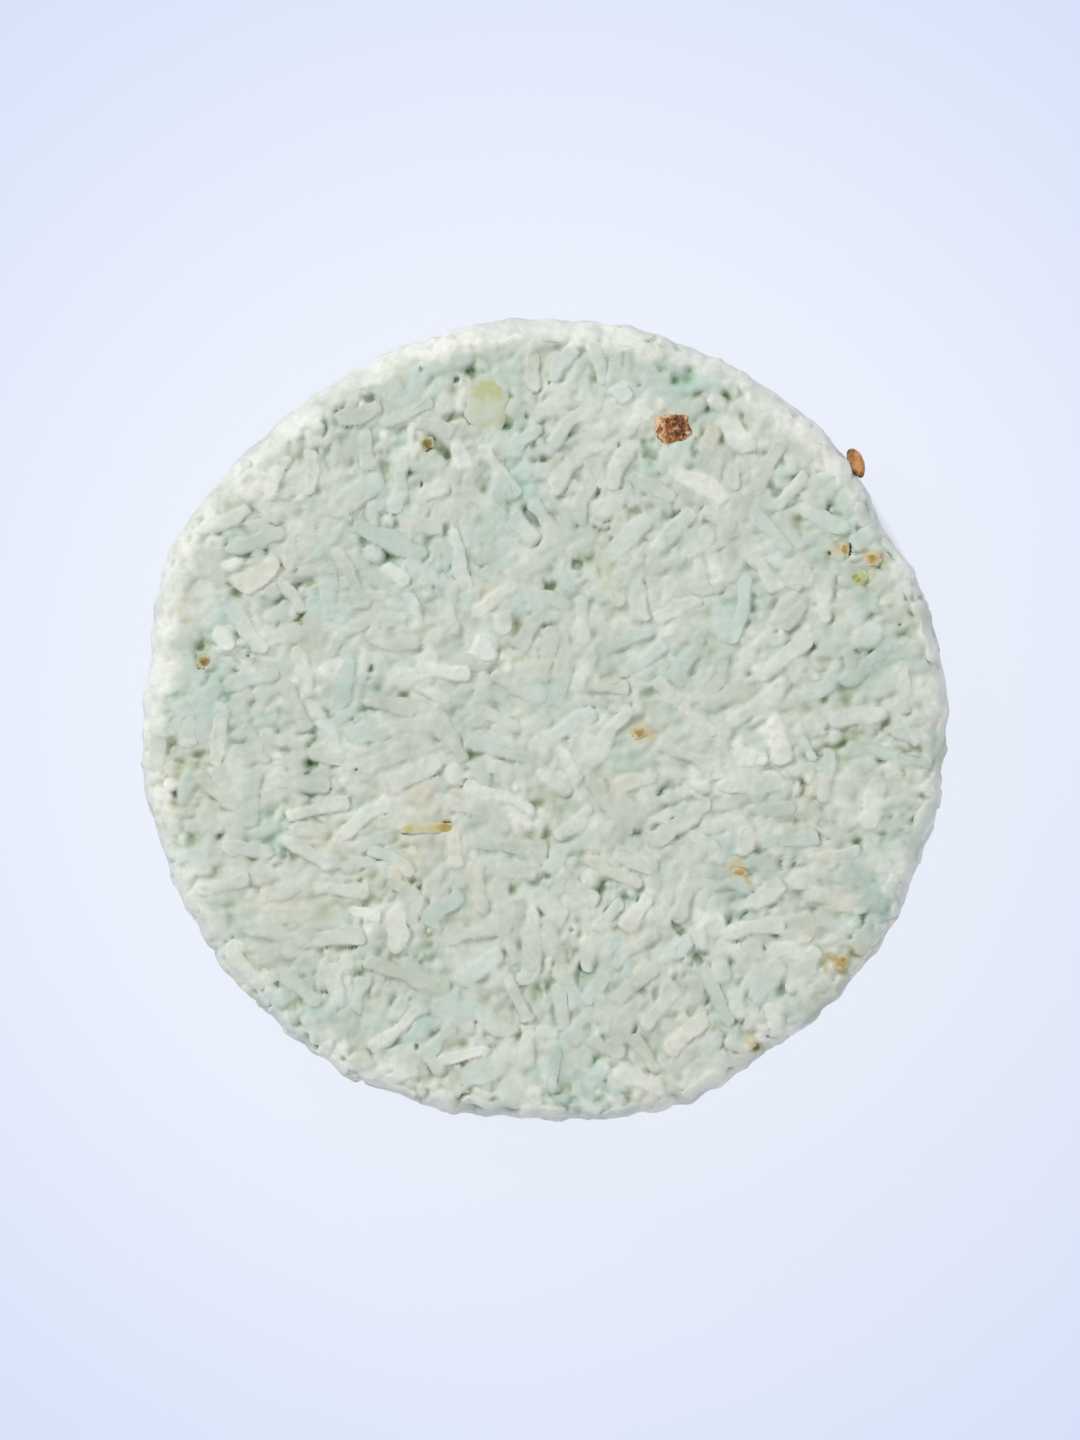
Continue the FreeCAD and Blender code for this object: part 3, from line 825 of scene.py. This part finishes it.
    # the soap pushed down under the striking noodles, except where all is fused
    loose = 1 - smooth_step(fused, 0.55, 0.85)
    height -= sink * smooth_step(own / sharp_weights, 0.35, 0.7) * np.maximum(loose, raised)

    height += settled(points)
    height = np.minimum(height, HIGHEST_BUMP)
    height = np.where(points[:, 2] < 1e-6, np.minimum(height, 0), height)

    tone = tones / weights[:, None]
    wall = on_wall(points)
    # partly a painted highlight: the rims are whitened, most on the smooth quarter toward the key
    # light, and the wall keeps only a share of it
    rim_paleness_and_highlight = RIM_PALENESS_AND_HIGHLIGHT + SMOOTH_RIM_PALENESS_AND_HIGHLIGHT * smooth_rim
    tone[:, 0] += rim_paleness_and_highlight * (on_rim - (1 - WALL_SHARE_OF_RIM_PALENESS) * wall)
    tone[:, 0] += HALO_WHITENESS * halo
    tone[:, 2] += WALL_WARMTH * wall
    tone[:, 1] *= 1 - RIM_TEAL_LOSS * on_rim
    tone[:, 1:] += stains(points)
    tone[:, 1] *= 1 - SMOOTH_RIM_TEAL_LOSS * smooth_rim
    # painted shade: soap lying deep below the press surface is painted dark green, and soap a
    # little below it a duller crease colour
    painted_crevice_shade = smooth_step(-height, *PAINTED_CREVICE_SHADE_DEPTHS)
    painted_crease_shade = smooth_step(-height, 0.06, 0.5)
    depth = np.column_stack([painted_crevice_shade, smooth_rim, painted_crease_shade])
    skin_points = points + skin.normals * height[:, None]
    core = make_piece("fused_soap", skin_points, faces, material, tone=tone, depth=depth)
    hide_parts("pressed_core")


def stains(points):
    """Extra teal and warmth, drifting and where plant bits have stained the soap."""
    teal_drift = 0.5 * smooth_step(TEAL_DRIFT(points), 0.0, 1.6)
    warm_drift = 0.35 * smooth_step(WARM_DRIFT(points), 1.3, 2.3)
    extra = np.column_stack([teal_drift, warm_drift])
    ragged = 0.35 * STAIN_EDGE(points)
    for degrees, reach, size, teal, warmth in STAINS:
        away = np.linalg.norm(points[:, :2] - face_place(degrees, reach), axis=1) / size
        share = (1 - smooth_step(away + ragged, 0.4, 1.5)) * (points[:, 2] > THICKNESS / 2)
        extra += share[:, None] * [teal, warmth]
    for centre, size, warmth in STAINED_BITS:
        away = np.linalg.norm(points - centre, axis=1) / size
        extra[:, 1] += warmth * (1 - smooth_step(away + ragged, 0.4, 1.4))
    return extra


def joined(skins):
    """The points and the faces of several closed skins, as those of one mesh."""
    blocks, faces = [], []
    start = 0
    for points, quads, caps in skins:
        blocks.append(points)
        faces += [quads + start, caps + start]
        start += len(points)
    return np.concatenate(blocks), faces


def make_noodles(node, rods, material, slot):
    """All the stand-out noodles of a CAD node, each pressed level with the surface."""
    skins = [rod.mesh() for rod in rods]
    points, faces = joined(skins)
    tones = [np.tile(rod.tone, (len(skin[0]), 1)) for rod, skin in zip(rods, skins)]
    tones = np.concatenate(tones)
    tones[:, 0] += 0.05 * NOODLE_MOTTLE(points)
    tones[:, 1:] += 0.8 * stains(points)
    tones[:, 2] += WALL_WARMTH * on_wall(points)
    smooth_rim = on_smooth_rim(points)
    tones[:, 1] *= 1 - SMOOTH_RIM_TEAL_LOSS * smooth_rim
    gap, _ = press_field(points)
    # painted shade: the sides of a noodle darken as they fall below the press surface
    painted_crevice_shade = smooth_step(-gap, *PAINTED_CREVICE_SHADE_DEPTHS)
    painted_crease_shade = smooth_step(-gap, 0.1, 0.55)
    depth = np.column_stack([painted_crevice_shade, smooth_rim, painted_crease_shade])
    piece = make_piece(node + "_detailed", points, faces, material, tone=tones, depth=depth)
    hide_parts(node)


# ---- plant fragments


def lump_mesh(points, chance, rough, grain, squareness=2.6, pointed=None, ridges=0):
    """A craggy closed lump that fills the space of a CAD solid, and how dented it is.

    pointed is the power that draws its ends to points, ridges how many run along it.
    """
    rings, spokes = 40, 56
    middle = points.mean(axis=0)
    _, _, axes = np.linalg.svd(points - middle, full_matrices=False)
    if np.linalg.det(axes) < 0:
        axes[2] *= -1
    spans = (points - middle) @ axes.T
    low, high = spans.min(axis=0), spans.max(axis=0)
    half = (high - low) / 2
    middle = middle + ((high + low) / 2) @ axes
    theta = np.linspace(0, math.pi, rings + 1)[1:-1]
    phi = np.linspace(0, 2 * math.pi, spokes, endpoint=False)
    power = 2 / squareness
    x = signed_power(-np.cos(theta), power) if pointed is None else -np.cos(theta)
    ring = np.abs(np.sin(theta)) ** (power if pointed is None else pointed)
    ring = np.repeat(ring, spokes) * (1 + 0.05 * np.tile(np.cos(ridges * phi), rings - 1))
    y = ring * np.tile(signed_power(np.cos(phi), power), rings - 1)
    z = ring * np.tile(signed_power(np.sin(phi), power), rings - 1)
    unit = np.column_stack([np.repeat(x, spokes), y, z])
    unit = np.concatenate([unit, [[-1, 0, 0], [1, 0, 0]]])
    placed = unit * half
    swell = 0.6 * ripple(placed, grain, chance, 14) + 0.3 * ripple(placed, grain / 2, chance, 14)
    placed = placed * (1 + rough * swell)[:, None]
    quads, caps = ringed_faces(rings - 1, spokes)
    return placed @ axes + middle, quads, caps, -swell


def make_fragment(node, material, slot, chance, rough, grain, lift, shade, **shape):
    """A plant fragment of one or more lumps, level with the surface but for lift.

    shade takes each point's place east and north within the lump, from -1 to 1, and says
    how dark it is there.
    """
    skins, shades = [], []
    for solid in node_solids(node):
        points, quads, caps, dent = lump_mesh(solid, chance, rough, grain, **shape)
        low, high = points.min(axis=0), points.max(axis=0)
        place = ((2 * points - low - high) / (high - low))[:, :2]
        if lift is not None:
            points = pressed(points, lift, 0.2)
        skins.append((points, quads, caps))
        shades.append(shade(*place.T) + 0.16 * dent)
    points, faces = joined(skins)
    shades = np.clip(np.concatenate(shades), 0, 1)[:, None]
    piece = make_piece(node + "_detailed", points, faces, material, shade=shades)
    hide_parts(node)


# ---- materials


def linear(red, green, blue):
    """A colour given as sRGB bytes, as the linear values that shaders take."""
    shares = [value / 255 for value in (red, green, blue)]
    return (
        *(s / 12.92 if s <= 0.04045 else ((s + 0.055) / 1.055) ** 2.4 for s in shares),
        1.0,
    )


class Graph:
    """Short names for making and linking the nodes of one material."""

    def __init__(self, name):
        self.material = bpy.data.materials.new(name)
        self.material.use_nodes = True
        self.nodes = self.material.node_tree.nodes
        self.links = self.material.node_tree.links
        self.shader = self.nodes["Principled BSDF"]
        self.place = self.nodes.new("ShaderNodeTexCoord").outputs["Object"]

    def put(self, socket, value):
        """Sets or links an input. A tuple is a colour in sRGB bytes."""
        if isinstance(value, bpy.types.NodeSocket):
            self.links.new(value, socket)
        elif isinstance(value, tuple):
            socket.default_value = linear(*value)
        else:
            socket.default_value = value

    def put_all(self, node, **settings):
        """Sets or links the inputs of a node, which are called by their names."""
        for name, value in settings.items():
            self.put(node.inputs[name.replace("_", " ")], value)

    def attribute(self, name):
        """The three values that a mesh holds at its points under a name."""
        node = self.nodes.new("ShaderNodeAttribute")
        node.attribute_name = name
        split = self.nodes.new("ShaderNodeSeparateColor")
        self.links.new(node.outputs["Color"], split.inputs[0])
        return list(split.outputs)[:3]

    def noise(self, size_mm, detail=3.0, roughness=0.55, distortion=0.0):
        node = self.nodes.new("ShaderNodeTexNoise")
        self.put_all(node, Vector=self.place, Scale=1 / (size_mm * MM), Detail=detail)
        self.put_all(node, Roughness=roughness, Distortion=distortion)
        return node.outputs["Fac"]

    def spread(self, value, low, high, to_low=0.0, to_high=1.0):
        node = self.nodes.new("ShaderNodeMapRange")
        self.put_all(node, Value=value, From_Min=low, From_Max=high)
        self.put_all(node, To_Min=to_low, To_Max=to_high)
        return node.outputs["Result"]

    def math(self, operation, first, second):
        node = self.nodes.new("ShaderNodeMath")
        node.operation = operation
        self.put(node.inputs[0], first)
        self.put(node.inputs[1], second)
        return node.outputs[0]

    def mix(self, share, first, second):
        """Two colours mixed. The node's sockets for colours go by number."""
        node = self.nodes.new("ShaderNodeMix")
        node.data_type = "RGBA"
        self.put(node.inputs["Factor"], share)
        self.put(node.inputs[6], first)
        self.put(node.inputs[7], second)
        return node.outputs[2]

    def bump(self, height, distance_mm, strength, under=None):
        node = self.nodes.new("ShaderNodeBump")
        self.put_all(node, Height=height, Distance=distance_mm * MM, Strength=strength)
        if under is not None:
            self.put_all(node, Normal=under)
        return node.outputs["Normal"]

    def finish(self, colour, roughness, normal, **settings):
        self.put_all(self.shader, Base_Color=colour, Roughness=roughness, Normal=normal)
        self.put_all(self.shader, **settings)
        return self.material


def soap_material(name):
    """Waxy pressed soap: mint, whiter, teal and warm noodles, with painted shade of dull green in
    the creases and dark green in the pits.
    """
    graph = Graph(name)
    whiteness, teal, warmth = graph.attribute("tone")
    painted_crevice_shade, smooth, painted_crease_shade = graph.attribute("depth")
    blotch = graph.noise(1.9, 4.0, 0.6)
    speckle = graph.noise(0.42, 3.0, 0.6)
    white_share = graph.math("ADD", whiteness, graph.spread(blotch, 0.3, 0.7, -0.27, 0.27))
    colour = graph.mix(white_share, (201, 204, 193), (236, 235, 226))
    teal_share = graph.math("MULTIPLY", teal, graph.spread(blotch, 0.35, 0.6, 0.35, 0.8))
    colour = graph.mix(teal_share, colour, (178, 203, 194))
    warm_share = graph.math("MULTIPLY", warmth, graph.spread(graph.noise(0.7), 0.3, 0.7, 0.15, 0.7))
    colour = graph.mix(warm_share, colour, (214, 206, 178))
    amber_patches = graph.spread(blotch, 0.4, 0.6, 0.3, 0.9)
    amber_share = graph.math("MULTIPLY", graph.spread(warmth, 0.8, 1.9), amber_patches)
    colour = graph.mix(amber_share, colour, (190, 164, 112))
    colour = graph.mix(graph.spread(speckle, 0.32, 0.7, 0.0, 0.28), colour, (177, 187, 172))
    patches = graph.noise(3.2, 3.0, 0.6)
    colour = graph.mix(graph.spread(patches, 0.46, 0.7, 0.0, 0.55), colour, (171, 181, 166))
    # painted shade in the creases and, darker green, in the deep pits
    olive = graph.spread(graph.noise(6.0, 2.0), 0.45, 0.62)
    crease_shade_colour = graph.mix(olive, (164, 188, 162), (190, 188, 148))
    colour = graph.mix(graph.math("MULTIPLY", painted_crease_shade, 0.5), colour, crease_shade_colour)
    deep = graph.math("MULTIPLY", painted_crevice_shade, graph.spread(graph.noise(0.9), 0.3, 0.6, 0.6, 1.0))
    colour = graph.mix(deep, colour, (86, 116, 72))
    fine = graph.bump(graph.noise(0.16, 3.0), 0.03, 0.4)
    coarse = graph.noise(0.5, 4.0, 0.65)
    normal = graph.bump(coarse, 0.12, graph.spread(smooth, 0.0, 1.0, 0.5, 0.15), fine)
    roughness = graph.spread(blotch, 0.3, 0.7, 0.52, 0.7)
    return graph.finish(colour, roughness, normal, Specular_IOR_Level=0.35)


def plant_material(name, light, middle, dark, grain_mm, roughness, speck):
    """Dry plant matter: from light to dark by the piece's own shading and its grain."""
    graph = Graph(name)
    shade = graph.attribute("shade")[0]
    grain = graph.noise(grain_mm, 5.0, 0.7, 0.4)
    value = graph.math("ADD", shade, graph.spread(grain, 0.25, 0.75, -speck / 2, speck / 2))
    colour = graph.mix(graph.spread(value, 0.0, 0.5), light, middle)
    colour = graph.mix(graph.spread(value, 0.5, 1.0), colour, dark)
    normal = graph.bump(graph.noise(grain_mm * 0.7, 4.0, 0.7), 0.08, 0.8)
    rough = graph.spread(grain, 0.3, 0.7, roughness - 0.12, roughness + 0.12)
    return graph.finish(colour, rough, normal, Specular_IOR_Level=0.3)


def floor_material():
    """A pale blue studio floor that glows, with a painted pool of light in its middle and a thin
    painted contact shadow round the puck.
    """
    graph = Graph("studio_floor")
    length = graph.nodes.new("ShaderNodeVectorMath")
    length.operation = "LENGTH"
    graph.put(length.inputs[0], graph.place)
    # a painted pool of light: the floor is lighter in its middle
    share = graph.spread(length.outputs["Value"], 0.032, 0.088)
    colour = graph.mix(share, (236, 241, 252), (200, 212, 245))
    # a painted contact shadow in a thin ring just round the puck's foot
    painted_contact_shadow = graph.spread(length.outputs["Value"], 0.0295, 0.0306, 0.5, 0.0)
    colour = graph.mix(painted_contact_shadow, colour, (120, 128, 140))
    normal = graph.bump(graph.noise(5.0), 0.02, 0.1)
    # the floor glows in its own colour, painted light that washes out the puck's cast shadow
    graph.put(graph.shader.inputs["Emission Color"], colour)
    return graph.finish(
        (84, 86, 92), 0.9, normal, Specular_IOR_Level=0.0, Emission_Strength=0.9
    )


# ---- stage and camera

PICTURE_WIDTH_MM = 81.0
CAMERA_HEIGHT = 0.9
CAMERA_AIM = (-0.00027, 0.00011)
KEY_BEARING = 136
KEY_ELEVATION = 42
KEY_DISTANCE = 0.8
KEY_SIZE = 0.5
KEY_WATTS = 3.1
ROOM_COLOUR = (0.97, 0.985, 1.0, 1.0)
ROOM_STRENGTH = 0.74


def make_stage():
    mesh = bpy.data.meshes.new("studio_floor")
    half = 1.5
    corners = [(-half, -half, 0), (half, -half, 0), (half, half, 0), (-half, half, 0)]
    mesh.from_pydata(corners, [], [(0, 1, 2, 3)])
    mesh.materials.append(floor_material())
    floor = new_object("studio_floor", mesh)


def make_camera():
    """A long lens looking straight down, +Y at the top of the picture."""
    data = bpy.data.cameras.new("camera")
    data.sensor_fit = "HORIZONTAL"
    data.sensor_width = 36.0
    rim_height = (THICKNESS - EDGE) * MM
    data.lens = data.sensor_width * (CAMERA_HEIGHT - rim_height) / (PICTURE_WIDTH_MM * MM)
    data.clip_start = 0.01
    camera = new_object("camera", data)
    camera.location = (*CAMERA_AIM, CAMERA_HEIGHT)
    bpy.context.scene.camera = camera


def make_key_light():
    """A soft square light that faces the middle of the puck."""
    data = bpy.data.lights.new("key", "AREA")
    data.size = KEY_SIZE
    data.energy = KEY_WATTS
    elevation = math.radians(KEY_ELEVATION)
    turn = math.radians(KEY_BEARING)
    flat = math.cos(elevation) * KEY_DISTANCE
    height = math.sin(elevation) * KEY_DISTANCE
    light = new_object("key", data)
    light.location = (flat * math.cos(turn), flat * math.sin(turn), height)
    light.rotation_euler = (math.radians(90 - KEY_ELEVATION), 0, turn + math.pi / 2)


def make_room():
    """Even light from all round, and colours shown as they are."""
    world = bpy.data.worlds.new("soft_room")
    bpy.context.scene.world = world
    world.use_nodes = True
    background = world.node_tree.nodes["Background"]
    background.inputs["Color"].default_value = ROOM_COLOUR
    background.inputs["Strength"].default_value = ROOM_STRENGTH
    bpy.context.scene.view_settings.view_transform = "Standard"


# ---- the puck

make_camera()
make_stage()
make_room()
make_key_light()

soap = soap_material("pressed_soap")
white_soap = soap_material("white_soap")

# The separate noodles of each CAD node: how white they are and how high they are left.
GROUPS = {
    "top_noodles": (0.36, (-0.03, 0.05)),
    "top_rim_noodles": (0.85, (-0.03, 0.03)),
    "wall_noodles": (0.5, (-0.03, 0.05)),
    "bottom_rim_noodles": (0.5, (-0.03, 0.03)),
    "bottom_noodles": (0.5, (-0.06, -0.02)),
    "white_granules": (1.35, (0.05, 0.1)),
}

# The plant fragments: how deep the soap dips round each, and how warm it stains the soap.
FRAGMENTS = {
    "bark_fragment": (0.16, 0.5),
    "petal_fragment": (0.0, 0.3),
    "stem_sliver": (0.0, 0.8),
    "leaf_fleck": (0.0, 0.7),
    "amber_flecks": (0.0, 1.6),
    "herb_specks": (0.03, 0.7),
    "rim_seed_husk": (0.12, 0.2),
}
rod_chance = np.random.default_rng(SEED + 2)
rods = {}
for node, (white, lift) in GROUPS.items():
    rods[node] = [
        measured_rod(solid, rod_chance, white, rod_chance.uniform(*lift))
        for solid in node_solids(node)
    ]
sockets = []
STAINED_BITS = []
for node, (grip, warmth) in FRAGMENTS.items():
    for solid in node_solids(node):
        bit = measured_rod(solid, rod_chance, white=0.3, lift=0.0)
        sockets.append((bit, grip))
        STAINED_BITS.append((bit.centre, (bit.half + bit.blunt) * STAIN_REACH, warmth))

make_core(soap, [rod for group in rods.values() for rod in group], sockets)
for node, group in rods.items():
    look = (white_soap, "white_soap") if node == "white_granules" else (soap, "soap")
    make_noodles(node, group, *look)

plant_chance = np.random.default_rng(SEED + 4)


def edge(east, north, low, high):
    """A share that goes from 0 in the middle of a fragment to 1 at its edge, from above."""
    return smooth_step(np.clip(np.hypot(east, north), 0, 1), low, high)


def bark_shade(east, north):
    return 0.66 + 0.22 * east - 0.35 * edge(east, north, 0.6, 1.05)


def husk_shade(east, north):
    ends = 0.65 * smooth_step(-north, 0.4, 1.0) + 0.45 * smooth_step(north, 0.2, 1.0)
    return 0.3 + ends + 0.2 * smooth_step(-east, 0.0, 1.0)


def stem_shade(east, north):
    near_tip = 0.75 * np.exp(-(((east - 0.6) / 0.26) ** 2))
    far_tip = 0.25 * np.exp(-(((east + 0.7) / 0.25) ** 2))
    return 0.3 + near_tip + far_tip - 0.45 * smooth_step(np.abs(north), 0.3, 1.0)


def fleck_shade(east, north):
    return 0.85 - 0.8 * edge(east, north, 0.25, 1.05)


def petal_shade(east, north):
    corner = 0.75 * smooth_step(north, 0.0, 0.6) + 0.3 * smooth_step(east - north, 0.7, 1.4)
    return 0.35 + corner - 0.5 * edge(east, north, 0.6, 1.1)


def leaf_shade(east, north):
    return 0.6 - 0.3 * east - 0.4 * edge(east, north, 0.4, 1.0)


def herb_shade(east, north):
    return 1.0 - 0.95 * edge(east, north, 0.25, 1.0)


# The materials of the fragments: three colours from light to dark, size of grain in
# millimetres, roughness and strength of the grain.
PLANT_LOOKS = {
    "bark": ((226, 194, 158), (166, 108, 66), (72, 50, 32), 0.35, 0.75, 1.6),
    "husk": ((222, 170, 112), (192, 134, 82), (98, 74, 52), 0.35, 0.5, 0.9),
    "amber": ((194, 198, 178), (198, 188, 138), (180, 150, 84), 0.7, 0.75, 0.4),
    "amber_fleck": ((196, 196, 174), (198, 180, 130), (162, 134, 80), 0.5, 0.75, 0.7),
    "petal": ((197, 203, 190), (194, 198, 172), (184, 188, 138), 0.9, 0.75, 0.8),
    "leaf": ((198, 204, 172), (184, 192, 134), (136, 144, 80), 0.4, 0.75, 1.0),
    "herb": ((190, 193, 170), (176, 162, 116), (124, 106, 64), 0.5, 0.75, 0.7),
}
looks = {name: plant_material(name, *look) for name, look in PLANT_LOOKS.items()}

# Each fragment's CAD node, material, slot, cragginess, size of crags, lift over the press
# surface (None for one that stands out of it), shading and shape.
PLANT_PIECES = (
    ("bark_fragment", "bark", "bark", 0.08, 0.8, 0.08, bark_shade, {"squareness": 4.5}),
    ("rim_seed_husk", "husk", "husk", 0.03, 0.7, None, husk_shade, {"pointed": 1.1, "ridges": 9}),
    ("stem_sliver", "amber", "husk", 0.04, 0.6, -0.03, stem_shade, {}),
    ("amber_flecks", "amber_fleck", "husk", 0.1, 0.6, -0.03, fleck_shade, {}),
    ("petal_fragment", "petal", "petal", 0.07, 1.1, -0.04, petal_shade, {"squareness": 2.7}),
    ("leaf_fleck", "leaf", "petal", 0.06, 0.5, -0.03, leaf_shade, {}),
    ("herb_specks", "herb", "herb", 0.1, 0.5, -0.02, herb_shade, {}),
)
for node, look, slot, rough, grain, lift, shade, shape in PLANT_PIECES:
    make_fragment(node, looks[look], slot, plant_chance, rough, grain, lift, shade, **shape)
